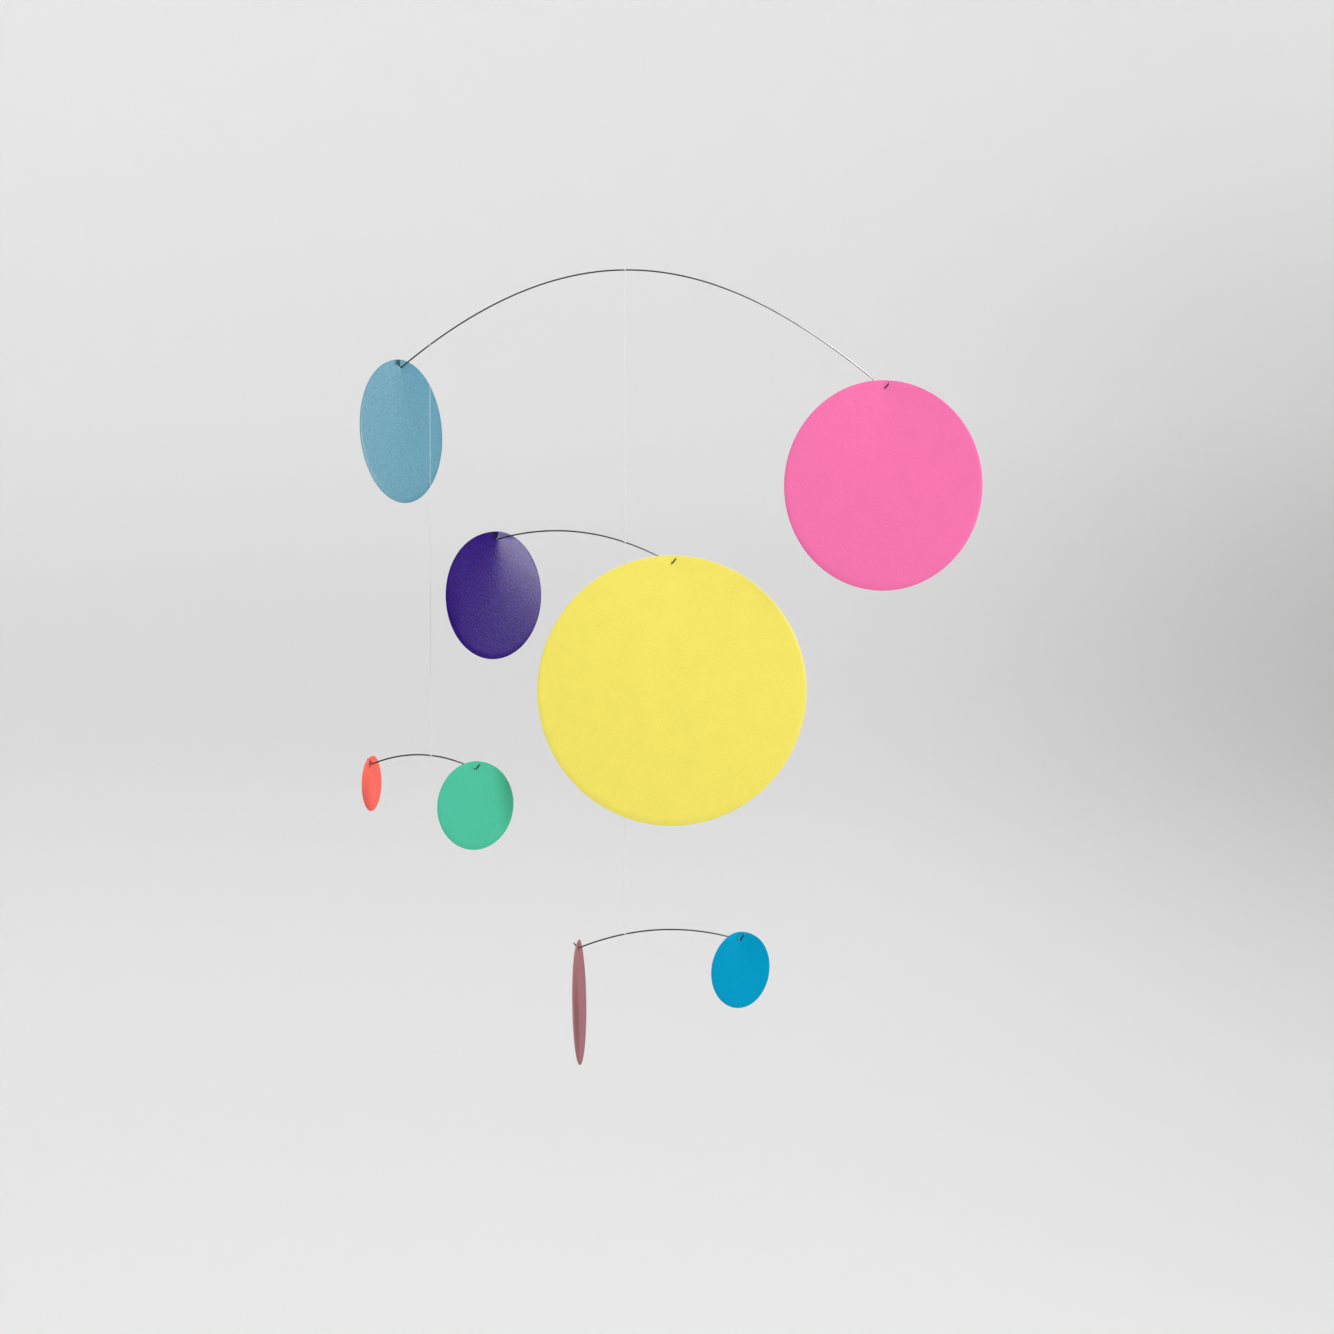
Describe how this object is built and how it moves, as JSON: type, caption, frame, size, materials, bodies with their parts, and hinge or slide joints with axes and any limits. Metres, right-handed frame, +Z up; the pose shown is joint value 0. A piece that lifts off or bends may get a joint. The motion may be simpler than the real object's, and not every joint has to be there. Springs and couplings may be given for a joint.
{
  "type": "hanging mobile",
  "caption": "Hanging mobile: thin round card discs at the ends of arched spring wires, tiered on clear threads so that the lower arms turn",
  "frame": {"origin": "the middle of the top wire's thickness where the mobile is tied to its ceiling thread, just beside the crown of the top arch", "axes": "+Z is up; +X runs along the arms at rest, from the teal disc's side to the pink disc's side; +Y points away from the viewer of the front"},
  "size_m": [0.6214, 0.1251, 0.7968],
  "materials": {
    "steel": "drawn spring wire, dull grey",
    "nylon": "clear monofilament thread",
    "teal_card": "matte dyed card",
    "pink_card": "matte dyed card",
    "purple_card": "matte dyed card",
    "yellow_card": "matte dyed card",
    "coral_card": "matte dyed card",
    "green_card": "matte dyed card",
    "mauve_card": "matte dyed card",
    "sky_card": "matte dyed card"
  },
  "bodies": {
    "top_arm": {"wire_top": "steel", "disc_teal": "teal_card", "disc_pink": "pink_card", "tie_top": "nylon", "tie_side_upper": "nylon", "thread_middle": "nylon", "thread_side": "nylon"},
    "middle_arm": {"wire_middle": "steel", "disc_purple": "purple_card", "disc_yellow": "yellow_card", "tie_middle": "nylon", "thread_low": "nylon"},
    "side_arm": {"wire_side": "steel", "disc_coral": "coral_card", "disc_green": "green_card", "tie_side": "nylon"},
    "low_arm": {"wire_low": "steel", "disc_mauve": "mauve_card", "disc_sky": "sky_card", "tie_low": "nylon"}
  },
  "joints": [
    {"name": "middle_swivel", "type": "hinge", "parent": "top_arm", "child": "middle_arm", "pos_m": [0, 0, -0.271], "axis": [0, 0, 1], "range_deg": [-155, 145]},
    {"name": "low_swivel", "type": "hinge", "parent": "middle_arm", "child": "low_arm", "pos_m": [0, 0, -0.664], "axis": [0, 0, 1], "continuous": true},
    {"name": "side_swivel", "type": "hinge", "parent": "top_arm", "child": "side_arm", "pos_m": [-0.1945, 0, -0.48446], "axis": [0, 0, 1], "continuous": true}
  ]
}
